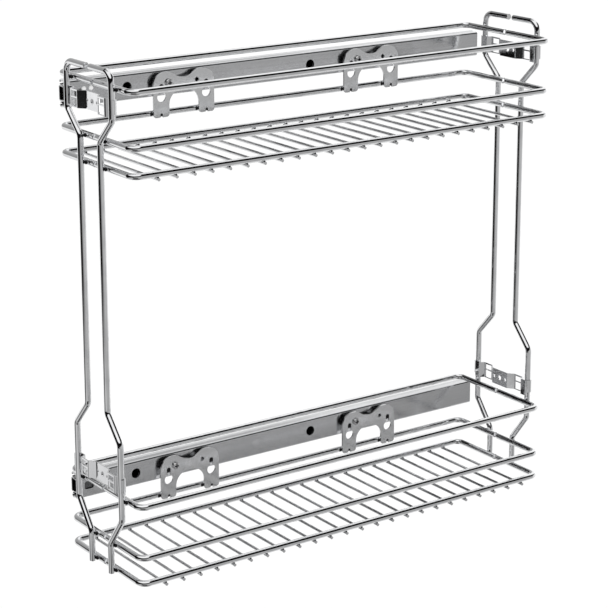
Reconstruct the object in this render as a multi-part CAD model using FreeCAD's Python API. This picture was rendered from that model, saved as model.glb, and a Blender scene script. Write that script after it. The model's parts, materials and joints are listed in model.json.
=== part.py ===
import FreeCAD, Part
import math
import os

# Two-tier pull-out cabinet organizer, in millimetres.
# The cabinet wall is the plane y = 0 and the product stands at y < 0.
# It pulls out along -X, so the front is at -X, and +Z is up.
# The origin is the centre of the four wall screw holes.

# Baskets
basket_length = 480.0
basket_width = 128.0
wire_diameter = 6.0
rod_diameter = 3.0
loop_corner = 8.0
loop_split_gap = 3.5
middle_loop_height = 25.0
top_loop_height = 75.0
tier_pitch = 385.0
rod_count = 24
rod_setback = 24.5
rod_rear_setback = 21.3
rod_overhang = 3.0
weld_seat = 0.05

# End frames
upright_spread_wide = 80.0
upright_spread_narrow = 36.0
upright_bend = 8.0
upright_top_bend = 10.0
top_bar_rise = 15.0
top_bar_gap = 7.0
upper_shoulder_drop = 3.0
upper_shoulder_rise = 21.5
lower_flare_top = 155.0
lower_flare_bottom = 131.0
lower_shoulder_top = 56.0
lower_shoulder_bottom = 27.5
foot_drop = 3.0

# Telescopic slides
slide_length = 490.0
slide_setback = 6.0
slide_depth = 13.0
slide_axis_height = 53.0
travel = 450.0
carriage_sheet = 1.2
rail_sheet = 1.0
carriage_height = 25.0
carriage_corner = 1.6
carriage_curl_entry = 1.2
rail_gap = 0.5
outer_ball_radius = 1.5
outer_ball_depth = 3.6
outer_ball_height = 10.5
inner_ball_radius = 1.25
inner_ball_depth = 8.2
inner_ball_height = 8.28
track_clearance = 0.1
shoulder_angle = 65.0
track_half_angle = 25.0
track_entry = 2.0
wall_corner = 1.2
lip_length = 0.4

# Ball strips
strip_end_margin = 17.5
strip_sheet = 0.5
strip_pocket_clearance = 0.05
outer_strip_inset = 1.25
outer_strip_outset = 2.4
inner_strip_inset = 2.0
inner_strip_outset = 1.1
balls_per_row = 4
ball_end_inset = 16.0

# Wall screws, their access holes and the front slot of the carriage rail
screw_setback = 71.0
screw_spacing = 210.0
screw_hole_radius = 2.25
access_hole_radius = 5.0
front_slot_setback = 18.5
front_slot_length = 10.0
front_slot_height = 8.0

# Rear stop of each slide
buffer_length = 7.0
buffer_height = 10.0
buffer_top_depth = 9.5
buffer_clearance = 0.3
rear_margin = 1.0
stop_tab_height = 8.0
stop_tab_depth = 4.2

# M shaped hanger brackets
hanger_sheet = 2.0
hanger_standoff = 4.0
hanger_width = 68.0
hanger_top = 64.3
hanger_bottom = 21.0
hanger_outer_radius = 13.0
hanger_lobe_inner = 15.5
hanger_lobe_radius = 8.0
hanger_dip_depth = 9.5
hanger_dip_radius = 18.0
hanger_arch_width = 33.0
hanger_arch_top = 46.0
hanger_arch_radius = 14.0
hanger_foot_radius = 3.0
hanger_notch_width = 2.6
hanger_notch_height = 4.0
hanger_setbacks = (130.0, 352.5)
keyhole_offset = 25.0
keyhole_height = 40.6
keyhole_radius = 4.75
keyhole_slot_width = 4.4
keyhole_slot_height = 50.9
screw_offset = -17.0
spare_hole_offset = 14.5
hanger_screw_height = 53.7
hanger_hole_radius = 2.1

# Hanger fasteners
screw_shank_radius = 2.0
screw_head_radius = 3.75
screw_head_height = 2.5
screw_dome_radius = 1.2
cross_length = 4.4
cross_width = 0.9
cross_depth = 1.3
spacer_radius = 4.0
spacer_bore_clearance = 0.05
peg_collar_radius = 3.8
peg_nose_clearance = 0.2
peg_nose_length = 1.5
peg_rivet_radius = 1.9
rivet_clearance = 0.02

# Door clip brackets
clip_sheet = 1.2
clip_height = 16.8
clip_upper_gap = 5.7
clip_lower_gap = 3.2
clip_plate_width = 23.4
clip_flange_start = 18.1
clip_flange_end = 31.0
clip_flange_setback = 5.0
clip_strap_start = 34.0
clip_bend = 1.3
clip_hook_angle = 125.0
clip_hook_drop = 3.5
clip_seat = 0.05
clip_hole_radius = 2.5
clip_side_hole_radius = 1.6
clip_side_hole_offset = 8.8
clip_window_inset = 1.2
clip_window_width = 9.8
clip_window_upper = 5.0
clip_window_lower = 7.8
clip_window_bar = 1.4
clip_window_edge = 1.6
clip_tab_length = 4.2

# Places worked out from the driving sizes
wire_radius = wire_diameter / 2
rod_radius = rod_diameter / 2
front_x = -(screw_setback + screw_spacing / 2)
rear_x = front_x + basket_length
slide_front_x = front_x + slide_setback
slide_rear_x = slide_front_x + slide_length
hanger_back_y = -(slide_depth + hanger_standoff)
far_y = hanger_back_y + wire_radius + weld_seat
near_y = far_y - basket_width
mid_y = (far_y + near_y) / 2
upper_slide_z = tier_pitch / 2
lower_slide_z = -tier_pitch / 2
upper_floor_z = upper_slide_z - slide_axis_height
lower_floor_z = lower_slide_z - slide_axis_height
tiers = (("upper", upper_slide_z, upper_floor_z), ("lower", lower_slide_z, lower_floor_z))
rod_pitch = (basket_length - rod_setback - rod_rear_setback) / (rod_count - 1)
# The upper clips hang under the top loop and the lower ones stand over it
clip_upper_base = top_loop_height - wire_radius - clip_upper_gap - clip_height
clip_lower_base = top_loop_height + wire_radius + clip_lower_gap
top_bar_height = top_loop_height + top_bar_rise
upper_shoulder_top = clip_upper_base - upper_shoulder_drop
upper_shoulder_bottom = upper_shoulder_top - upper_shoulder_rise
screw_xs = (-screw_spacing / 2, screw_spacing / 2)
upright_offset = wire_diameter + weld_seat
strip_centre_x = (slide_front_x + slide_rear_x) / 2
# Two rails that slide on one set of balls move half the travel apart
strip_length = slide_length - travel / 2 - 2 * strip_end_margin
ball_pitch = (strip_length - 2 * ball_end_inset) / (balls_per_row - 1)

os.makedirs("parts", exist_ok=True)


def point(x, y, z):
    return FreeCAD.Vector(x, y, z)


def save(name, solids):
    shape = solids[0] if len(solids) == 1 else Part.makeCompound(solids)
    shape.exportStep("parts/" + name + ".step")
    print(name, len(shape.Solids), round(shape.Volume, 1), shape.isValid())


def rounded_edges(points, radii, closed=False):
    """Straight runs through the points, each corner turned by an arc of its own radius."""
    count = len(points)
    entries = []
    exits = []
    arcs = []
    for index, corner in enumerate(points):
        radius = radii[index]
        if radius <= 0 or (not closed and index in (0, count - 1)):
            entries.append(corner)
            exits.append(corner)
            arcs.append(None)
            continue
        before = (points[index - 1] - corner).normalize()
        after = (points[(index + 1) % count] - corner).normalize()
        half_angle = before.getAngle(after) / 2
        setback = radius / math.tan(half_angle)
        bisector = (before + after).normalize()
        middle = corner + bisector * (radius / math.sin(half_angle) - radius)
        entries.append(corner + before * setback)
        exits.append(corner + after * setback)
        arcs.append(middle)
    edges = []
    for index in range(count):
        if arcs[index] is not None:
            edges.append(Part.Arc(entries[index], arcs[index], exits[index]).toShape())
        following = (index + 1) % count
        if following == 0 and not closed:
            break
        if exits[index].distanceToPoint(entries[following]) > 1e-6:
            edges.append(Part.LineSegment(exits[index], entries[following]).toShape())
    return edges


def bent_wire(points, radii, section_radius):
    """A round wire along a route of straight runs and bends."""
    edges = rounded_edges(points, radii)
    route = Part.Wire(edges)
    start = edges[0].Vertexes[0].Point
    direction = edges[0].tangentAt(edges[0].FirstParameter)
    circle = Part.Wire(Part.makeCircle(section_radius, start, direction))
    return route.makePipeShell([circle], True, False)


def cylinder_along_y(x, z, y_start, y_end, radius):
    low = min(y_start, y_end)
    return Part.makeCylinder(radius, abs(y_end - y_start), point(x, low, z), point(0, 1, 0))


class SheetStrip:
    """The section of a bent strip of sheet, walked along its middle line."""

    def __init__(self, start, heading, thickness):
        self.place = start
        self.heading = heading
        self.half = thickness / 2
        self.left_edges = []
        self.right_edges = []
        self.first = self.sides()

    def sides(self):
        angle = math.radians(self.heading + 90)
        across = point(math.cos(angle), math.sin(angle), 0) * self.half
        return self.place + across, self.place - across

    def line(self, length):
        left, right = self.sides()
        angle = math.radians(self.heading)
        self.place = self.place + point(math.cos(angle), math.sin(angle), 0) * length
        next_left, next_right = self.sides()
        self.left_edges.append(Part.LineSegment(left, next_left).toShape())
        self.right_edges.append(Part.LineSegment(right, next_right).toShape())

    def turn(self, degrees, radius):
        """A bend of the middle line, to the left where degrees is positive."""
        side = 1 if degrees > 0 else -1
        normal = math.radians(self.heading + 90 * side)
        centre = self.place + point(math.cos(normal), math.sin(normal), 0) * radius
        stops = [self.sides()]
        spoke = self.place - centre
        start_heading = self.heading
        for share in (0.5, 1.0):
            turned = math.radians(degrees * share)
            self.place = centre + point(spoke.x * math.cos(turned) - spoke.y * math.sin(turned),
                                        spoke.x * math.sin(turned) + spoke.y * math.cos(turned), 0)
            self.heading = start_heading + degrees * share
            stops.append(self.sides())
        self.left_edges.append(Part.Arc(stops[0][0], stops[1][0], stops[2][0]).toShape())
        self.right_edges.append(Part.Arc(stops[0][1], stops[1][1], stops[2][1]).toShape())

    def walk(self, steps):
        for step in steps:
            if len(step) == 1:
                self.line(step[0])
            else:
                self.turn(step[0], step[1])

    def face(self):
        last_left, last_right = self.sides()
        first_left, first_right = self.first
        edges = list(self.left_edges)
        edges.append(Part.LineSegment(last_left, last_right).toShape())
        edges.extend(reversed(self.right_edges))
        edges.append(Part.LineSegment(first_right, first_left).toShape())
        return Part.Face(Part.Wire(Part.__sortEdges__(edges)))


def mirrored_strip(start, heading, steps, thickness, mirror_angle):
    """A strip whose two halves mirror each other about a line through its start."""
    probe = SheetStrip(start, heading, thickness)
    probe.walk(steps)
    offset = probe.place - start
    axis = math.radians(mirror_angle)
    along = offset.x * math.cos(axis) + offset.y * math.sin(axis)
    across = -offset.x * math.sin(axis) + offset.y * math.cos(axis)
    far_start = start + point(along * math.cos(axis) + across * math.sin(axis),
                              along * math.sin(axis) - across * math.cos(axis), 0)
    far_heading = 2 * mirror_angle - probe.heading + 180
    strip = SheetStrip(far_start, far_heading, thickness)
    strip.walk(list(reversed(steps)) + list(steps))
    return strip.face()


def rail_solid(section, x_start, length, slide_z):
    """A section drawn as (depth from the wall, height) pulled along X at a slide's height."""
    placed = section.copy()
    placed.transformShape(FreeCAD.Matrix(0, 0, 1, x_start, -1, 0, 0, 0, 0, 1, 0, slide_z, 0, 0, 0, 1))
    return placed.extrude(point(length, 0, 0))


def web_and_edges(rail, slide_z, web_half):
    """The flat web of a rail and its two rolled edges side by side, the channel open between."""
    band = Part.makeBox(slide_length + 2, 2 * slide_depth, 2 * web_half,
                        point(slide_front_x - 1, -1.5 * slide_depth, slide_z - web_half))
    return rail.common(band).Solids + rail.cut(band).Solids


def carriage_section():
    """The outer channel and half its web: its edges curl round the large balls."""
    web = slide_depth - carriage_sheet / 2
    flange = carriage_height / 2 - carriage_sheet / 2
    track = outer_ball_radius + track_clearance + carriage_sheet / 2
    reach = carriage_curl_entry + track
    swing = math.degrees(math.acos((flange + carriage_curl_entry - outer_ball_height) / reach))
    flange_end = outer_ball_depth + reach * math.sin(math.radians(swing))
    steps = [(flange - carriage_corner,), (90, carriage_corner),
             (web - carriage_corner - flange_end,), (-swing, carriage_curl_entry), (90 + swing, track)]
    return mirrored_strip(point(web, 0, 0), 90, steps, carriage_sheet, 0), flange - carriage_corner


def middle_section():
    """The middle channel and half its web: small balls under its shoulders, large on its edges."""
    web = slide_depth - carriage_sheet - rail_gap - rail_sheet / 2
    over_small = inner_ball_radius + track_clearance + rail_sheet / 2
    under_large = outer_ball_radius + track_clearance + rail_sheet / 2
    shoulder = math.radians(shoulder_angle)
    corner = (web - inner_ball_depth - over_small * math.cos(shoulder)) / (1 - math.cos(shoulder))
    corner_height = inner_ball_height - (corner - over_small) * math.sin(shoulder)
    span = math.hypot(inner_ball_depth - outer_ball_depth, outer_ball_height - inner_ball_height)
    toward = math.atan2(outer_ball_height - inner_ball_height, outer_ball_depth - inner_ball_depth)
    slope = math.degrees(toward + math.asin((over_small + under_large) / span))
    run = math.sqrt(span ** 2 - (over_small + under_large) ** 2)
    steps = [(corner_height,), (shoulder_angle, corner), (slope - 90 - shoulder_angle, over_small),
             (run,), (-2 * (slope - 180), under_large), (lip_length,)]
    return mirrored_strip(point(web, 0, 0), 90, steps, rail_sheet, 0), corner_height


def wall_section():
    """The wall channel and half its web: its edges carry the small balls from below."""
    web = rail_sheet / 2
    track = inner_ball_radius + track_clearance + rail_sheet / 2
    half = math.radians(track_half_angle)
    flange = inner_ball_height - track * math.cos(half) + track_entry * (1 - math.cos(half))
    flange_end = inner_ball_depth - (track + track_entry) * math.sin(half)
    steps = [(flange - wall_corner,), (-90, wall_corner), (flange_end - web - wall_corner,),
             (-track_half_angle, track_entry), (2 * track_half_angle, track), (lip_length,)]
    return mirrored_strip(point(web, 0, 0), 90, steps, rail_sheet, 0), flange - wall_corner


def wall_rail(slide_z):
    section, web_half = wall_section()
    rail = rail_solid(section, slide_front_x, slide_length, slide_z)
    holes = [cylinder_along_y(x, slide_z, 1, -2 * rail_sheet, screw_hole_radius) for x in screw_xs]
    return web_and_edges(rail.cut(holes), slide_z, web_half)


def middle_rail(slide_z):
    section, web_half = middle_section()
    rail = rail_solid(section, slide_front_x, slide_length, slide_z)
    holes = [cylinder_along_y(x, slide_z, -slide_depth, -inner_ball_depth, access_hole_radius)
             for x in screw_xs]
    web_inner = slide_depth - carriage_sheet - rail_gap - rail_sheet
    tab_x = slide_rear_x - rear_margin - buffer_length - buffer_clearance - rail_sheet
    tab = Part.makeBox(rail_sheet, web_inner - stop_tab_depth, stop_tab_height,
                       point(tab_x, -web_inner, slide_z - stop_tab_height / 2))
    return web_and_edges(rail.cut(holes), slide_z, web_half) + [tab]


def rear_buffer(slide_z):
    block = Part.makeBox(buffer_length, buffer_top_depth - rail_sheet, buffer_height,
                         point(slide_rear_x - rear_margin - buffer_length, -buffer_top_depth,
                               slide_z - buffer_height / 2))
    rounded = [edge for edge in block.Edges
               if abs(edge.Vertexes[0].Point.y + buffer_top_depth) < 1e-6
               and abs(edge.Vertexes[1].Point.y + buffer_top_depth) < 1e-6]
    return block.makeFillet(rail_sheet, rounded)


def carriage_rail(slide_z):
    section, web_half = carriage_section()
    rail = rail_solid(section, slide_front_x, slide_length, slide_z)
    cutters = [cylinder_along_y(x, slide_z, -slide_depth - 1, -inner_ball_depth, access_hole_radius)
               for x in screw_xs]
    slot_x = front_x + front_slot_setback
    half_length = front_slot_length / 2
    half_height = front_slot_height / 2
    corners = [point(slot_x - half_length, -slide_depth - 1, slide_z - half_height),
               point(slot_x + half_length, -slide_depth - 1, slide_z - half_height),
               point(slot_x + half_length, -slide_depth - 1, slide_z + half_height),
               point(slot_x - half_length, -slide_depth - 1, slide_z + half_height)]
    slot = Part.Face(Part.Wire(rounded_edges(corners, [half_height / 2] * 4, closed=True)))
    cutters.append(slot.extrude(point(0, 1 + 2 * carriage_sheet, 0)))
    for setback in hanger_setbacks:
        x = front_x + setback
        floor_z = slide_z - slide_axis_height
        screw_z = floor_z + hanger_screw_height
        cutters.append(cylinder_along_y(x + screw_offset, screw_z, -slide_depth - 1,
                                        -inner_ball_depth, screw_shank_radius + rivet_clearance))
        for side in (-1, 1):
            cutters.append(cylinder_along_y(x + side * keyhole_offset, floor_z + keyhole_slot_height,
                                            -slide_depth - 1, -inner_ball_depth,
                                            peg_rivet_radius + rivet_clearance))
    return web_and_edges(rail.cut(cutters), slide_z, web_half)


def ball_xs():
    first = strip_centre_x - ball_pitch * (balls_per_row - 1) / 2
    return [first + ball_pitch * index for index in range(balls_per_row)]


def ball_row(depth, height, radius, slide_z):
    return [Part.makeSphere(radius, point(x, -depth, slide_z + side * height))
            for side in (-1, 1) for x in ball_xs()]


def ball_strips(depth, height, radius, inset, outset, slide_z):
    strips = []
    for side in (-1, 1):
        z = slide_z + side * height
        strip = Part.makeBox(strip_length, inset + outset, strip_sheet,
                             point(strip_centre_x - strip_length / 2, -depth - outset,
                                   z - strip_sheet / 2))
        pockets = [Part.makeCylinder(radius + strip_pocket_clearance, 2 * strip_sheet,
                                     point(x, -depth, z - strip_sheet)) for x in ball_xs()]
        strips.append(strip.cut(pockets))
    return strips


def loop_half(side, z):
    """Half of one wire loop: a long run, two corners and two short ends."""
    end_y = mid_y + side * loop_split_gap / 2
    run_y = far_y if side > 0 else near_y
    route = [point(front_x, end_y, z), point(front_x, run_y, z),
             point(rear_x, run_y, z), point(rear_x, end_y, z)]
    return bent_wire(route, [0, loop_corner, loop_corner, 0], wire_radius)


def cross_rods(floor_z):
    z = floor_z - wire_radius - rod_radius - weld_seat
    length = basket_width + 2 * rod_overhang
    start_y = near_y - rod_overhang
    return [Part.makeCylinder(rod_radius, length,
                              point(front_x + rod_setback + rod_pitch * index, start_y, z),
                              point(0, 1, 0))
            for index in range(rod_count)]


def upright(x, side):
    """One bent wire of an end frame, from its foot to the bar over the top basket."""
    wide = mid_y + side * upright_spread_wide / 2
    narrow = mid_y + side * upright_spread_narrow / 2
    route = [point(x, narrow, lower_floor_z - foot_drop),
             point(x, narrow, lower_floor_z + lower_shoulder_bottom),
             point(x, wide, lower_floor_z + lower_shoulder_top),
             point(x, wide, lower_floor_z + lower_flare_bottom),
             point(x, narrow, lower_floor_z + lower_flare_top),
             point(x, narrow, upper_floor_z + upper_shoulder_bottom),
             point(x, wide, upper_floor_z + upper_shoulder_top),
             point(x, wide, upper_floor_z + top_bar_height),
             point(x, mid_y + side * top_bar_gap / 2, upper_floor_z + top_bar_height)]
    radii = [0] + [upright_bend] * 6 + [upright_top_bend, 0]
    return bent_wire(route, radii, wire_radius)


def hanger_outline(x, floor_z):
    half = hanger_width / 2
    arch = hanger_arch_width / 2
    corners = [(0, hanger_top - hanger_dip_depth, hanger_dip_radius),
               (hanger_lobe_inner, hanger_top, hanger_lobe_radius),
               (half, hanger_top, hanger_outer_radius),
               (half, hanger_bottom, hanger_foot_radius),
               (arch, hanger_bottom, hanger_foot_radius),
               (arch, hanger_arch_top, hanger_arch_radius)]
    mirrored = [(-u, height, radius) for u, height, radius in reversed(corners[1:])]
    outline = corners + mirrored
    points = [point(x + u, hanger_back_y, floor_z + height) for u, height, radius in outline]
    radii = [radius for u, height, radius in outline]
    return Part.Face(Part.Wire(rounded_edges(points, radii, closed=True)))


def keyhole(x, floor_z):
    through = (hanger_back_y + 1, hanger_back_y - hanger_sheet - 1)
    round_hole = cylinder_along_y(x, floor_z + keyhole_height, through[0], through[1], keyhole_radius)
    slot_end = cylinder_along_y(x, floor_z + keyhole_slot_height, through[0], through[1],
                                keyhole_slot_width / 2)
    slot = Part.makeBox(keyhole_slot_width, hanger_sheet + 2, keyhole_slot_height - keyhole_height,
                        point(x - keyhole_slot_width / 2, through[1], floor_z + keyhole_height))
    return [round_hole, slot_end, slot]


def foot_notch(x, floor_z):
    top = floor_z + hanger_bottom + hanger_notch_height
    low = floor_z + hanger_bottom - 1
    half = hanger_notch_width / 2
    round_end = cylinder_along_y(x, top - half, hanger_back_y + 1, hanger_back_y - hanger_sheet - 1, half)
    slot = Part.makeBox(hanger_notch_width, hanger_sheet + 2, top - half - low,
                        point(x - half, hanger_back_y - hanger_sheet - 1, low))
    return [round_end, slot]


def hanger(x, floor_z):
    """The stamped M plate that hangs a basket on the carriage rail."""
    plate = hanger_outline(x, floor_z).extrude(point(0, -hanger_sheet, 0))
    cutters = []
    foot_centre = (hanger_width + hanger_arch_width) / 4
    for side in (-1, 1):
        cutters.extend(keyhole(x + side * keyhole_offset, floor_z))
        cutters.extend(foot_notch(x + side * foot_centre, floor_z))
    for offset in (screw_offset, spare_hole_offset):
        cutters.append(cylinder_along_y(x + offset, floor_z + hanger_screw_height, hanger_back_y + 1,
                                        hanger_back_y - hanger_sheet - 1, hanger_hole_radius))
    return plate.cut(cutters)


def hanger_screw(x, z):
    """A pan head screw with a cross recess, its shank through plate, spacer and rail web."""
    face_y = hanger_back_y - hanger_sheet
    shank_end = -(slide_depth - carriage_sheet)
    shank = cylinder_along_y(x, z, shank_end, face_y, screw_shank_radius)
    head = cylinder_along_y(x, z, face_y, face_y - screw_head_height, screw_head_radius)
    crown = [edge for edge in head.Edges
             if edge.BoundBox.YMax < face_y - screw_head_height + 1e-6]
    head = head.makeFillet(screw_dome_radius, crown)
    bars = []
    for wide, tall in ((cross_length, cross_width), (cross_width, cross_length)):
        bars.append(Part.makeBox(wide, cross_depth + 1, tall,
                                 point(x - wide / 2, face_y - screw_head_height - 1, z - tall / 2)))
    return head.fuse(shank).cut(bars)


def hanger_spacer(x, z):
    sleeve = cylinder_along_y(x, z, -slide_depth, hanger_back_y, spacer_radius)
    bore = cylinder_along_y(x, z, 0, 2 * hanger_back_y, screw_shank_radius + spacer_bore_clearance)
    return sleeve.cut(bore)


def hanger_peg(x, z):
    """A riveted peg: a collar that stands the plate off the rail and a nose in the keyhole slot."""
    collar = cylinder_along_y(x, z, -slide_depth, hanger_back_y, peg_collar_radius)
    nose = cylinder_along_y(x, z, hanger_back_y, hanger_back_y - peg_nose_length,
                            keyhole_slot_width / 2 - peg_nose_clearance)
    rivet = cylinder_along_y(x, z, -(slide_depth - carriage_sheet), -slide_depth, peg_rivet_radius)
    return collar.fuse([nose, rivet])


def clip_section():
    """The plan of a clip: a centre plate, two set back flanges, two straps hooked round the uprights."""
    hook = wire_radius + clip_seat + clip_sheet / 2
    corners = [(0, 0), (clip_plate_width / 2, 0), (clip_flange_start, clip_flange_setback),
               (clip_flange_end, clip_flange_setback), (clip_strap_start, 0), (upright_spread_wide / 2, 0)]
    steps = []
    heading = 0
    trimmed = 0
    for (u, v), (next_u, next_v) in zip(corners, corners[1:]):
        way = math.degrees(math.atan2(next_v - v, next_u - u))
        if way != heading:
            trim = clip_bend * math.tan(math.radians(abs(way - heading)) / 2)
            steps[-1] = (steps[-1][0] - trim,)
            steps.append((way - heading, clip_bend))
            trimmed = trim
        steps.append((math.hypot(next_u - u, next_v - v) - trimmed,))
        heading = way
    return mirrored_strip(point(0, 0, 0), 0, steps + [(clip_hook_angle, hook)], clip_sheet, 90)


def clip_bracket():
    """A clip drawn about its own middle: x across, y outwards from the basket, z up from its base."""
    body = clip_section().extrude(point(0, 0, clip_height))
    half_spread = upright_spread_wide / 2
    hook = wire_radius + clip_seat + clip_sheet / 2
    outer = hook + clip_sheet
    tab_u = half_spread - wire_radius - clip_seat - clip_sheet
    window_base = clip_height - clip_window_edge - clip_window_upper - clip_window_bar - clip_window_lower
    windows = ((window_base, clip_window_lower),
               (clip_height - clip_window_edge - clip_window_upper, clip_window_upper))
    cutters = []
    tabs = []
    for side in (-1, 1):
        cutters.append(Part.makeBox(outer, 2 * outer + clip_sheet, clip_hook_drop + 1,
                                    point(half_spread if side > 0 else -half_spread - outer,
                                          -clip_sheet, -1)))
        for base, height in windows:
            near_u = clip_flange_start + clip_window_inset
            low = near_u if side > 0 else -near_u - clip_window_width
            cutters.append(Part.makeBox(clip_window_width, 2 * clip_sheet, height,
                                        point(low, clip_flange_setback - clip_sheet, base)))
            tab_low = tab_u if side > 0 else -tab_u - clip_sheet
            tabs.append(Part.makeBox(clip_sheet, clip_tab_length, height,
                                     point(tab_low, -clip_sheet / 2, base)))
    hole_z = clip_height / 2
    for offset, radius in ((0, clip_hole_radius), (-clip_side_hole_offset, clip_side_hole_radius),
                           (clip_side_hole_offset, clip_side_hole_radius)):
        cutters.append(Part.makeCylinder(radius, 4 * clip_sheet,
                                         point(offset, -2 * clip_sheet, hole_z),
                                         point(0, 1, 0)))
    return body.cut(cutters).fuse(tabs).removeSplitter()


def placed_clip(end, base_z):
    """A clip seated on the basket side of an end frame, facing out of that end."""
    upright_x = front_x - upright_offset if end < 0 else rear_x + upright_offset
    seat = wire_radius + clip_seat + clip_sheet / 2
    clip = clip_bracket()
    clip.rotate(point(0, 0, 0), point(0, 0, 1), 90 if end < 0 else -90)
    clip.translate(point(upright_x - end * seat, mid_y, base_z))
    return clip


for tier, slide_z, floor_z in tiers:
    save("wall_rail_" + tier, wall_rail(slide_z))
    save("rear_buffer_" + tier, [rear_buffer(slide_z)])
    save("middle_rail_" + tier, middle_rail(slide_z))
    save("carriage_rail_" + tier, carriage_rail(slide_z))
    save("wall_side_balls_" + tier,
         ball_row(inner_ball_depth, inner_ball_height, inner_ball_radius, slide_z))
    save("wall_side_ball_strips_" + tier,
         ball_strips(inner_ball_depth, inner_ball_height, inner_ball_radius,
                     inner_strip_inset, inner_strip_outset, slide_z))
    save("carriage_side_balls_" + tier,
         ball_row(outer_ball_depth, outer_ball_height, outer_ball_radius, slide_z))
    save("carriage_side_ball_strips_" + tier,
         ball_strips(outer_ball_depth, outer_ball_height, outer_ball_radius,
                     outer_strip_inset, outer_strip_outset, slide_z))
    for level, height in (("floor", 0), ("middle", middle_loop_height), ("top", top_loop_height)):
        save(tier + "_" + level + "_rail_near", [loop_half(-1, floor_z + height)])
        save(tier + "_" + level + "_rail_far", [loop_half(1, floor_z + height)])
    save("cross_rods_" + tier, cross_rods(floor_z))
    for end_name, setback in zip(("front", "rear"), hanger_setbacks):
        save("hanger_bracket_" + tier + "_" + end_name, [hanger(front_x + setback, floor_z)])

hanger_places = [(front_x + setback, floor_z) for tier, slide_z, floor_z in tiers
                 for setback in hanger_setbacks]
save("hanger_screws", [hanger_screw(x + screw_offset, z + hanger_screw_height)
                       for x, z in hanger_places])
save("hanger_spacers", [hanger_spacer(x + screw_offset, z + hanger_screw_height)
                        for x, z in hanger_places])
save("hanger_pegs", [hanger_peg(x + side * keyhole_offset, z + keyhole_slot_height)
                     for x, z in hanger_places for side in (-1, 1)])

for end, end_name in ((-1, "front"), (1, "rear")):
    x = front_x - upright_offset if end < 0 else rear_x + upright_offset
    save("upright_" + end_name + "_near", [upright(x, -1)])
    save("upright_" + end_name + "_far", [upright(x, 1)])
    save("clip_bracket_" + end_name + "_upper", [placed_clip(end, upper_floor_z + clip_upper_base)])
    save("clip_bracket_" + end_name + "_lower", [placed_clip(end, lower_floor_z + clip_lower_base)])
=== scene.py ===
import json
import math

import bmesh
import bpy
from mathutils import Matrix, Vector


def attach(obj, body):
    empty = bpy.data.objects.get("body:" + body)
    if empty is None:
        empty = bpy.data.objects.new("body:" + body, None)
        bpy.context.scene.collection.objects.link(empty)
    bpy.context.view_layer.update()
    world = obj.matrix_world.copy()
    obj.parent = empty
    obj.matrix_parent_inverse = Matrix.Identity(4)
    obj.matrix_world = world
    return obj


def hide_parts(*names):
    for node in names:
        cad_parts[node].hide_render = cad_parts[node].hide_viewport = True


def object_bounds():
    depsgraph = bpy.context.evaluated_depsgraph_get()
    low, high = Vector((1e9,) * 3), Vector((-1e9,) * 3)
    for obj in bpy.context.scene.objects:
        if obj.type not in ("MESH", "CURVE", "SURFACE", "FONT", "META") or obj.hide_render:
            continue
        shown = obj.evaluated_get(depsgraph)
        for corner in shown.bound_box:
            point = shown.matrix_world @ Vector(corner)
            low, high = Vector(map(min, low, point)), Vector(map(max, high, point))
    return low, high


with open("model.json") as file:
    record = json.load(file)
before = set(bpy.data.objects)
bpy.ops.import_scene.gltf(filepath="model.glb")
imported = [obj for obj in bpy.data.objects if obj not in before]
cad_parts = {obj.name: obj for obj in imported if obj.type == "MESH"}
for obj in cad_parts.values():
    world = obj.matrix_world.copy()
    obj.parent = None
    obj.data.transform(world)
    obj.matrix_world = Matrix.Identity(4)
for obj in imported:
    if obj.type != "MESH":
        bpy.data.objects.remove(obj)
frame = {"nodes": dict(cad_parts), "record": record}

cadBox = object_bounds()
nodes = frame["nodes"]
slotOf = {entry["node"]: entry["material_slot"] for entry in frame["record"]["subparts"]}
bodyOf = {name: body for body, names in frame["record"]["behaviour"]["bodies"].items()
          for name in names}
print("frame loaded:", len(nodes), "nodes")


class Socket:
    # wraps one shader socket, so that sums on values read as sums

    def __init__(self, tree, socket=None):
        self.tree = tree
        self.socket = socket

    def node(self, kind, settings=None, inputs=None, output=0):
        made = self.tree.nodes.new(kind)
        for name, value in (settings or {}).items():
            if name == "stops":
                ends = made.color_ramp.elements
                ends[0].position, ends[1].position = value[0][0], value[-1][0]
                for place, shade in value[1:-1]:
                    ends.new(place)
                for element, (place, shade) in zip(ends, value):
                    element.color = (shade, shade, shade, 1.0)
            else:
                setattr(made, name, value)
        for name, value in (inputs or {}).items():
            target = made.inputs[name]
            if isinstance(value, Socket):
                self.tree.links.new(value.socket, target)
            else:
                target.default_value = value
        return Socket(self.tree, made.outputs[output]) if len(made.outputs) else made

    def sum(self, operation, first, second):
        return self.node("ShaderNodeMath", {"operation": operation}, {0: first, 1: second})

    def __add__(self, other):
        return self.sum("ADD", self, other)

    def __radd__(self, other):
        return self.sum("ADD", other, self)

    def __sub__(self, other):
        return self.sum("SUBTRACT", self, other)

    def __rsub__(self, other):
        return self.sum("SUBTRACT", other, self)

    def __mul__(self, other):
        return self.sum("MULTIPLY", self, other)

    def __rmul__(self, other):
        return self.sum("MULTIPLY", other, self)

    def smooth(self, low, high):
        return self.node("ShaderNodeMapRange", {"interpolation_type": "SMOOTHSTEP", "clamp": True},
                         {"Value": self, "From Min": low, "From Max": high})

    def noise(self, place, scale, detail, rough=0.5):
        return self.node("ShaderNodeTexNoise", {"noise_dimensions": "3D"},
                         {"Vector": place, "Scale": scale, "Detail": detail, "Roughness": rough})


def newMaterial(name):
    material = bpy.data.materials.new(name)
    material.use_nodes = True
    tree = material.node_tree
    tree.nodes.clear()
    return material, Socket(tree)


def stretched(make, scales=(1.0, 1.0, 1.0)):
    place = make.node("ShaderNodeTexCoord", output="Object")
    return make.node("ShaderNodeMapping", inputs={"Vector": place, "Scale": scales})


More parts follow.
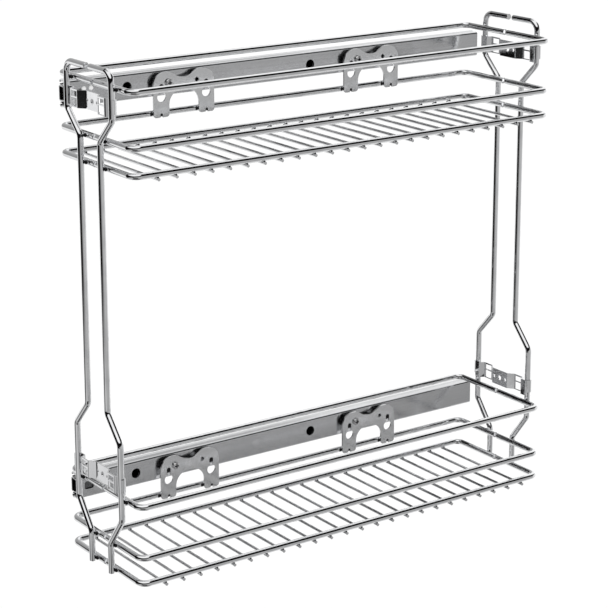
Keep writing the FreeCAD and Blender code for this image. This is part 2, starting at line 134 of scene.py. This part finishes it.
def paleToDull(make, look, cloud):
    # sockets 6 and 7 of a colour mix are its two colours, and output 2 is what comes out
    share = cloud.smooth(*look["dullSpan"])
    return make.node("ShaderNodeMix", {"data_type": "RGBA"},
                     {"Factor": share, 6: look["pale"], 7: look["dull"]}, 2)


def finishSurface(make, look, colour, rough, height, metallic=1.0):
    # one surface: its colour, its roughness and its fine relief
    bump = make.node("ShaderNodeBump", {}, {"Strength": look["bumpStrength"],
                                            "Distance": look["bumpDepth"], "Height": height})
    shader = make.node("ShaderNodeBsdfPrincipled", {},
                       {"Metallic": metallic, "Base Color": colour, "Roughness": rough,
                        "Normal": bump})
    make.node("ShaderNodeOutputMaterial", {}, {"Surface": shader})


chrome = {
    "pale": (0.90, 0.905, 0.915, 1.0),
    "dull": (0.80, 0.805, 0.82, 1.0),
    "dullSpan": (0.35, 0.75),
    "rough": 0.015,
    "roughSwing": 0.025,
    "roughSpan": (0.4, 0.8),
    "cloudScale": 60.0,
    "cloudDetail": 4.0,
    "cloudRough": 0.5,
    "cloudRelief": 3.0,
    "pitScale": 900.0,
    "pitDetail": 2.0,
    "bumpStrength": 0.12,
    "bumpDepth": 0.00003,
}
stamped = {
    "pale": (0.88, 0.885, 0.895, 1.0),
    "dull": (0.82, 0.825, 0.835, 1.0),
    "dullSpan": (0.3, 0.75),
    "rough": 0.10,
    "roughSwing": 0.06,
    "roughSpan": (0.3, 0.8),
    "cloudScale": 45.0,
    "cloudDetail": 5.0,
    "cloudRough": 0.6,
    "cloudRelief": 2.0,
    "pitScale": 1500.0,
    "pitDetail": 2.0,
    "bumpStrength": 0.25,
    "bumpDepth": 0.00006,
}
clipLook = dict(stamped, dull=(0.80, 0.805, 0.82, 1.0), rough=0.06)
screwLook = dict(stamped, pale=(0.80, 0.80, 0.80, 1.0), dull=(0.64, 0.64, 0.65, 1.0), rough=0.12)
# near-black plating is painted shade: it darkens the weld beads, the screw cross recesses and the
# hanger pegs where they stand in shade
shadeDarkLook = dict(stamped, pale=(0.035, 0.035, 0.037, 1.0), dull=(0.018, 0.018, 0.019, 1.0),
                rough=0.35)
rivetLook = dict(stamped, pale=(0.95, 0.95, 0.95, 1.0), dull=(0.90, 0.90, 0.90, 1.0), rough=0.4)


def platedSteel(name, look, metallic=1.0):
    # plated wire and tumbled stampings: soft clouds, fine pits
    material, make = newMaterial(name)
    place = stretched(make)
    cloud = make.noise(place, look["cloudScale"], look["cloudDetail"], look["cloudRough"])
    pits = make.noise(place, look["pitScale"], look["pitDetail"])
    colour = paleToDull(make, look, cloud)
    rough = cloud.smooth(*look["roughSpan"]) * look["roughSwing"] + look["rough"]
    finishSurface(make, look, colour, rough, pits + cloud * look["cloudRelief"], metallic)
    return material


satin = {
    "pale": (0.73, 0.735, 0.745, 1.0),
    "dull": (0.65, 0.655, 0.665, 1.0),
    "dullSpan": (0.35, 0.65),
    "rough": 0.13,
    "roughSwing": 0.06,
    "roughSpan": (0.3, 0.7),
    "grainStretch": (3.0, 900.0, 900.0),
    "grainDetail": 3.0,
    "cloudStretch": (1.0, 1.0, 2.0),
    "cloudScale": 18.0,
    "cloudDetail": 4.0,
    "bumpStrength": 0.2,
    "bumpDepth": 0.00001,
}
# the middle rail is painted dark as painted shade for the rail seen deep inside through the
# carriage rail's holes; its real plating matches the other rails
innerShadeLook = dict(satin, pale=(0.17, 0.172, 0.176, 1.0), dull=(0.13, 0.132, 0.135, 1.0), rough=0.22)
wallLook = dict(satin, pale=(0.62, 0.624, 0.632, 1.0), dull=(0.54, 0.544, 0.552, 1.0))
stripLook = dict(satin, rough=0.30)


def rolledStrip(name, look):
    # cold rolled strip: a fine grain drawn along the pull-out direction
    material, make = newMaterial(name)
    grain = make.noise(stretched(make, look["grainStretch"]), 1.0, look["grainDetail"])
    cloud = make.noise(stretched(make, look["cloudStretch"]), look["cloudScale"],
                       look["cloudDetail"])
    mottle = grain * 0.5 + cloud * 0.5
    colour = paleToDull(make, look, mottle)
    rough = mottle.smooth(*look["roughSpan"]) * look["roughSwing"] + look["rough"]
    finishSurface(make, look, colour, rough, grain)
    return material


rubber = {
    "pale": (0.030, 0.030, 0.032, 1.0),
    "dull": (0.014, 0.014, 0.015, 1.0),
    "dullSpan": (0.3, 0.7),
    "rough": 0.5,
    "roughSwing": 0.2,
    "grainScale": 1400.0,
    "grainDetail": 3.0,
    "bumpStrength": 0.3,
    "bumpDepth": 0.0001,
}


def bufferRubber():
    material, make = newMaterial("bufferRubber")
    grain = make.noise(stretched(make), rubber["grainScale"], rubber["grainDetail"])
    colour = paleToDull(make, rubber, grain)
    finishSurface(make, rubber, colour, grain * rubber["roughSwing"] + rubber["rough"], grain, 0.0)
    return material


finishes = {
    "chrome_wire": platedSteel("chromePlate", chrome),
    "slide_steel": rolledStrip("slideStrip", satin),
    "hanger_steel": platedSteel("hangerPlate", stamped),
    "clip_steel": platedSteel("clipPlate", clipLook),
    "fastener_steel": platedSteel("screwPlate", screwLook),
    "ball_steel": platedSteel("ballSteel", clipLook),
    "strip_steel": rolledStrip("ballStrip", stripLook),
    "buffer_plastic": bufferRubber(),
}
# painted shade material: near-black, laid on the beads, the screw recesses and the hanger pegs
paintedShadeDark = platedSteel("paintedShadeDark", shadeDarkLook)
rivetPale = platedSteel("rivetPale", rivetLook, 0.0)
ownFinishesAndShade = {
    # the middle rail takes a darkened strip as painted shade
    "middle_rail": rolledStrip("innerShadeStrip", innerShadeLook),
    "wall_rail": rolledStrip("wallStrip", wallLook),
    # the hanger pegs take the near-black painted shade, so the keyhole slots they sit in look dark
    "hanger_peg": paintedShadeDark,
}
for name, node in nodes.items():
    own = [finish for start, finish in ownFinishesAndShade.items() if name.startswith(start)]
    node.data.materials.clear()
    node.data.materials.append(own[0] if own else finishes[slotOf[name]])
print("finishes on", len(nodes), "nodes")

# wires, rails and stampings get the small rolled edges that catch the light
softening = {
    "widths": {
        "hanger_steel": 0.0002,
        "clip_steel": 0.00022,
        "slide_steel": 0.00018,
        "chrome_wire": 0.00045,
    },
    "segments": 2,
    "sharpAngle": math.radians(38),
    "flatAngle": math.radians(0.6),
    "smoothLimit": math.cos(math.radians(50)),
    "joinWithin": 1e-6,
    "levelNormal": 0.999,
    "levelsPerMetre": 1e5,
}


def seamFaces(form):
    # where a rail's solids meet, faces look up and down at one height: they go, so that the
    # strip is whole
    levels = {}
    for face in form.faces:
        if abs(face.normal.z) > softening["levelNormal"]:
            level = round(face.calc_center_median().z * softening["levelsPerMetre"])
            sides = levels.setdefault(level, ([], []))
            sides[face.normal.z > 0].append(face)
    return [face for down, up in levels.values() if down and up for face in down + up]


def weightNormals(mesh):
    # large faces keep their own direction, so that only the small rolled edges turn the light
    around = [[] for vertex in mesh.vertices]
    faces = [(face.normal.copy(), face.area, list(face.vertices)) for face in mesh.polygons]
    for normal, area, vertices in faces:
        for vertex in vertices:
            around[vertex].append((normal, area))
    turned = []
    for normal, area, vertices in faces:
        for vertex in vertices:
            total = Vector()
            for otherNormal, otherArea in around[vertex]:
                if otherNormal.dot(normal) > softening["smoothLimit"]:
                    total += otherNormal * otherArea
            turned.append(total.normalized())
    mesh.normals_split_custom_set(turned)


def softened(name, width):
    mesh = nodes[name].data.copy()
    mesh.name = name + "Soft"
    form = bmesh.new()
    form.from_mesh(mesh)
    if slotOf[name] == "slide_steel":
        form.normal_update()
        bmesh.ops.delete(form, geom=seamFaces(form), context="FACES_ONLY")
    bmesh.ops.remove_doubles(form, verts=form.verts, dist=softening["joinWithin"])
    bmesh.ops.dissolve_limit(form, angle_limit=softening["flatAngle"],
                             use_dissolve_boundaries=False, verts=form.verts, edges=form.edges)
    sharp = [edge for edge in form.edges if len(edge.link_faces) == 2
             and edge.calc_face_angle(0.0) > softening["sharpAngle"]]
    bmesh.ops.bevel(form, geom=sharp, offset=width, offset_type="OFFSET", affect="EDGES",
                    segments=softening["segments"], profile=0.5, material=-1, clamp_overlap=True)
    bmesh.ops.triangulate(form, faces=[face for face in form.faces if len(face.verts) > 4])
    for face in form.faces:
        face.smooth = True
    form.to_mesh(mesh)
    form.free()
    piece = bpy.data.objects.new(name + "Soft", mesh)
    bpy.context.scene.collection.objects.link(piece)
    weightNormals(mesh)
    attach(piece, bodyOf[name])
    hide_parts(name)


toSoften = [name for name in sorted(nodes)
            if slotOf[name] in softening["widths"] and not name.startswith("cross_rods")]
for name in toSoften:
    softened(name, softening["widths"][slotOf[name]])
print("softened", len(toSoften), "pieces")

# weld beads, small fasteners and dark marks that ride on the carriage, too fine for the
# construction; their near-black colour is painted shade
carriage = {
    "loopHeights": ((0.2145, 0.1645, 0.1395), (-0.1705, -0.2205, -0.2455)),  # top, middle, floor
    "hangerXs": (-0.0460, 0.1765),
    "slideHeights": (0.1925, -0.1925),
    "roundAngle": math.radians(50),
}


def placed(place, size):
    return Matrix.Translation(Vector(place)) @ Matrix.Diagonal((*size, 1.0))


def beadAt(form, place, size, fineness=2):
    bmesh.ops.create_icosphere(form, subdivisions=fineness, radius=1.0, matrix=placed(place, size))


def boxAt(form, place, size):
    bmesh.ops.create_cube(form, size=1.0, matrix=placed(place, size))


def detailPiece(name, form, material, rider):
    for face in form.faces:
        face.smooth = True
    mesh = bpy.data.meshes.new(name)
    form.to_mesh(mesh)
    form.free()
    mesh.materials.append(material)
    piece = bpy.data.objects.new(name, mesh)
    bpy.context.scene.collection.objects.link(piece)
    mesh.set_sharp_from_angle(angle=carriage["roundAngle"])
    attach(piece, rider)


beads = {
    "endXs": (-0.1790, 0.3070),
    "midY": -0.07795,
    "spreads": (0.04003, 0.0178, 0.0178),  # of the uprights, at the top, middle and floor loops
    "uprightAside": 0.0034,
    "uprightSize": (0.0018, 0.0021, 0.0020),
    "rodFirst": -0.1515,
    "rodPitch": 0.01887826,
    "rodCount": 24,
    "rodDrop": 0.0030,
    "rodAside": 0.0012,
    "rodSize": (0.0011, 0.0011, 0.0010),
    "rodFineness": 1,
    "wireYs": (-0.14195, -0.01395),
    "footCentre": 0.02525,
    "footY": -0.01395,
    "footLift": 0.0250,
    "footShadeOffsets": ((-0.00995, -0.0016, 0.0), (0.0, -0.0022, -0.0015)),
    "footShadeSize": (0.0021, 0.0026, 0.0022),
}


def weldBeadsAndShade():
    form = bmesh.new()
    # welds where the wires cross, coloured near-black as painted shade at the crossings
    for end in beads["endXs"]:
        for heights in carriage["loopHeights"]:
            for height, spread in zip(heights, beads["spreads"]):
                for side in (-1, 1):
                    across = beads["midY"] + side * spread - beads["uprightAside"]
                    beadAt(form, (end, across, height), beads["uprightSize"])
    for top, middle, floor in carriage["loopHeights"]:
        for rod in range(beads["rodCount"]):
            along = beads["rodFirst"] + rod * beads["rodPitch"]
            for wire in beads["wireYs"]:
                beadAt(form, (along, wire - beads["rodAside"], floor - beads["rodDrop"]),
                       beads["rodSize"], beads["rodFineness"])
        # the beads beside each hanger foot are a painted shadow of the foot on the middle wire, not
        # welds
        for hanger in carriage["hangerXs"]:
            for side in (-1, 1):
                foot = Vector((hanger + side * beads["footCentre"], beads["footY"],
                               floor + beads["footLift"]))
                for offset in beads["footShadeOffsets"]:
                    beadAt(form, foot + Vector(offset), beads["footShadeSize"])
    detailPiece("weldBeadsAndShade", form, paintedShadeDark, bodyOf["upper_top_rail_near"])


# thin near-black crosses on each screw head: painted shade for the screws' cross recesses
recessShade = {
    "aside": -0.0170,
    "face": -0.0215,
    "lift": 0.0537,
    "long": 0.0046,
    "wide": 0.0012,
    "deep": 0.0003,
}


def screwRecessShade():
    form = bmesh.new()
    for top, middle, floor in carriage["loopHeights"]:
        for hanger in carriage["hangerXs"]:
            place = (hanger + recessShade["aside"], recessShade["face"], floor + recessShade["lift"])
            boxAt(form, place, (recessShade["long"], recessShade["deep"], recessShade["wide"]))
            boxAt(form, place, (recessShade["wide"], recessShade["deep"], recessShade["long"]))
    detailPiece("screwRecessShade", form, paintedShadeDark, bodyOf["upper_top_rail_near"])


rivets = {
    "xs": (-0.1510, -0.1435),
    "y": -0.0130,
    "lift": 0.0035,
    "size": (0.0025, 0.0012, 0.0025),
}


def webRivets():
    form = bmesh.new()
    for height in carriage["slideHeights"]:
        for along in rivets["xs"]:
            beadAt(form, (along, rivets["y"], height + rivets["lift"]), rivets["size"])
    detailPiece("webRivets", form, rivetPale, bodyOf["upper_top_rail_near"])


weldBeadsAndShade()
screwRecessShade()
webRivets()
print("small details added")

# the photograph's camera, placed from the organizer's own origin
view = {
    "place": (-1.0701, -1.6692, 0.5487),
    "turn": 0.6140,
    "dip": 0.2597,
    "roll": -0.0012,
    "focalPixels": 2071.2,
    "imagePixels": 608,
    "shiftDown": 0.1,
    "sensor": 36.0,
    "clipStart": 0.05,
    "clipEnd": 100.0,
}
rightWay = Vector((math.cos(view["turn"]), -math.sin(view["turn"]), 0.0))
aheadWay = Vector((math.sin(view["turn"]), math.cos(view["turn"]), 0.0))


def setCamera():
    ahead = aheadWay * math.cos(view["dip"]) - Vector((0.0, 0.0, math.sin(view["dip"])))
    up = rightWay.cross(ahead)
    rolledRight = rightWay * math.cos(view["roll"]) + up * math.sin(view["roll"])
    rolledUp = up * math.cos(view["roll"]) - rightWay * math.sin(view["roll"])
    turned = Matrix((rolledRight, rolledUp, -ahead)).transposed().to_4x4()
    lens = bpy.data.cameras.new("photoCamera")
    lens.sensor_width = view["sensor"]
    lens.sensor_fit = "AUTO"
    lens.lens = view["focalPixels"] / view["imagePixels"] * view["sensor"]
    lens.shift_y = -view["shiftDown"]
    lens.clip_start = view["clipStart"]
    lens.clip_end = view["clipEnd"]
    camera = bpy.data.objects.new("photoCamera", lens)
    camera.matrix_world = Matrix.Translation(Vector(view["place"])) @ turned
    bpy.context.scene.collection.objects.link(camera)
    bpy.context.scene.camera = camera


setCamera()

paleFloor = {
    "drop": 0.55,
    "size": 60.0,
    "colour": (0.93, 0.93, 0.93, 1.0),
}


def setFloor():
    form = bmesh.new()
    bmesh.ops.create_grid(form, x_segments=1, y_segments=1, size=paleFloor["size"] / 2)
    bmesh.ops.translate(form, vec=(0, 0, cadBox[0].z - paleFloor["drop"]), verts=form.verts)
    mesh = bpy.data.meshes.new("paleFloor")
    form.to_mesh(mesh)
    form.free()
    floor = bpy.data.objects.new("paleFloor", mesh)
    bpy.context.scene.collection.objects.link(floor)
    material, make = newMaterial("floorPaper")
    shader = make.node("ShaderNodeBsdfDiffuse", {}, {"Color": paleFloor["colour"]})
    make.node("ShaderNodeOutputMaterial", {}, {"Surface": shader})
    mesh.materials.append(material)
    floor.visible_glossy = False


setFloor()

# what the bright metal sees round the table: a light tent over grey walls, a dark gap between
# them, a dark stand below the camera, a pale floor, and the dark table top straight below.
# Pairs are an angle from the camera, to its right, and a tone. The gap's pairs, and what is
# called top or foot, are heights from -1 straight down to 1 straight up.
room = {
    "glow": 1.1,
    "gapLow": [
        (-180, 0.62), (-142, 0.65), (-130, 0.67), (-120, 0.56), (-115, 0.48), (-111, 0.25),
        (-106, -0.34), (-85, -0.34), (-20, -0.10), (40, 0.15), (70, 0.25), (108, 0.32),
        (130, 0.30), (150, -0.10), (180, -0.10)],
    "gapHigh": [
        (-180, 0.62), (-142, 0.84), (-130, 0.84), (-120, 0.80), (-115, 0.74), (-111, 0.56),
        (-106, 0.56), (-85, 0.56), (-20, 0.50), (40, 0.62), (70, 0.85), (108, 0.91),
        (130, 0.55), (150, -0.20), (180, -0.20)],
    "gapSoft": 0.05,
    "gapTone": 0.004,
    "tent": [
        (-180, 1.0), (-170, 0.75), (-160, 0.45), (-118, 0.38), (-100, 0.45), (-80, 1.0),
        (180, 1.0)],
    "wallHead": [
        (-180, 0.55), (-150, 0.40), (-112, 0.30), (-105, 0.02), (-26, 0.02), (-17, 0.30),
        (0, 0.38), (29, 0.48), (50, 0.56), (62, 0.45), (80, 0.42), (92, 0.55), (100, 0.78),
        (130, 0.85), (180, 0.85)],
    "headFoot": -0.06,
    "headSoft": 0.05,
    "wall": [
        (-180, 0.85), (-113, 0.95), (-110, 0.30), (-105, 0.02), (-26, 0.02), (-17, 0.30),
        (0, 0.38), (29, 0.48), (50, 0.56), (62, 0.45), (80, 0.42), (92, 0.55), (100, 0.78),
        (140, 0.85), (180, 0.85)],
    "wallFoot": [
        (-180, 0.85), (-113, 0.80), (-110, 0.15), (-106, 0.02), (-92, 0.04), (-60, 0.45),
        (-42, 0.66), (-25, 0.60), (0, 0.40), (29, 0.42), (60, 0.38), (80, 0.34), (92, 0.50),
        (100, 0.75), (140, 0.85), (180, 0.85)],
    "footTop": -0.30,
    "footSoft": 0.04,
    "stand": [(-180, 0.0), (-38, 0.0), (-28, 1.0), (18, 1.0), (28, 0.0), (180, 0.0)],
    "standTop": -0.40,
    "standFoot": -0.80,
    "standSoft": 0.03,
    "floorFront": 0.36,
    "floorBack": 0.85,
    "floorBlend": 0.4,
    "floorTop": -0.60,
    "floorSoft": 0.20,
    "tableTop": -0.93,
    "tableSoft": 0.03,
    "tableTone": 0.02,
}


def setRoom():
    world = bpy.data.worlds.new("studioRoom")
    world.use_nodes = True
    tree = world.node_tree
    tree.nodes.clear()
    make = Socket(tree)
    glossy = make.node("ShaderNodeLightPath", output="Is Glossy Ray")
    direction = make.node("ShaderNodeTexCoord", output="Generated")
    height = make.node("ShaderNodeSeparateXYZ", {}, {"Vector": direction}, "Z")

    def along(way):
        return make.node("ShaderNodeVectorMath", {"operation": "DOT_PRODUCT"},
                         {0: direction, 1: way}, "Value")

    def above(level, soft):
        return (height - level).smooth(-soft, soft)

    def mixed(first, second, share):
        return first + (second - first) * share

    front = along(-aheadWay)
    turned = make.sum("ARCTAN2", along(rightWay), front) * (0.5 / math.pi) + 0.5  # a turn is 0 to 1

    def roundRoom(name):
        # a ramp holds no tone below zero, so -1 to 1 is kept as 0 to 1
        stops = [(angle / 360 + 0.5, tone * 0.5 + 0.5) for angle, tone in room[name]]
        return make.node("ShaderNodeValToRGB", {"stops": stops}, {"Fac": turned}) * 2.0 - 1.0

    wall = mixed(roundRoom("wallFoot"), roundRoom("wall"), above(room["footTop"], room["footSoft"]))
    wall = mixed(wall, roundRoom("wallHead"), above(room["headFoot"], room["headSoft"]))
    floorTone = mixed(room["floorBack"], room["floorFront"],
                      front.smooth(-room["floorBlend"], room["floorBlend"]))
    wall = mixed(floorTone, wall, above(room["floorTop"], room["floorSoft"]))
    stand = (roundRoom("stand") * above(room["standFoot"], room["standSoft"])
             * (1.0 - above(room["standTop"], room["standSoft"])))
    wall = wall * (1.0 - stand)
    wall = mixed(room["tableTone"], wall, above(room["tableTop"], room["tableSoft"]))
    overLow = above(roundRoom("gapLow"), room["gapSoft"])
    overHigh = above(roundRoom("gapHigh"), room["gapSoft"])
    gap = overLow * (1.0 - overHigh) * room["gapTone"]
    tone = wall * (1.0 - overLow) + gap + overHigh * roundRoom("tent")
    level = glossy * tone + (1.0 - glossy) * room["glow"]
    background = make.node("ShaderNodeBackground", {},
                           {"Color": (1.0, 1.0, 1.0, 1.0), "Strength": level})
    make.node("ShaderNodeOutputWorld", {}, {"Surface": background})
    bpy.context.scene.world = world


setRoom()
bpy.context.scene.view_settings.view_transform = "Standard"
print("studio set")
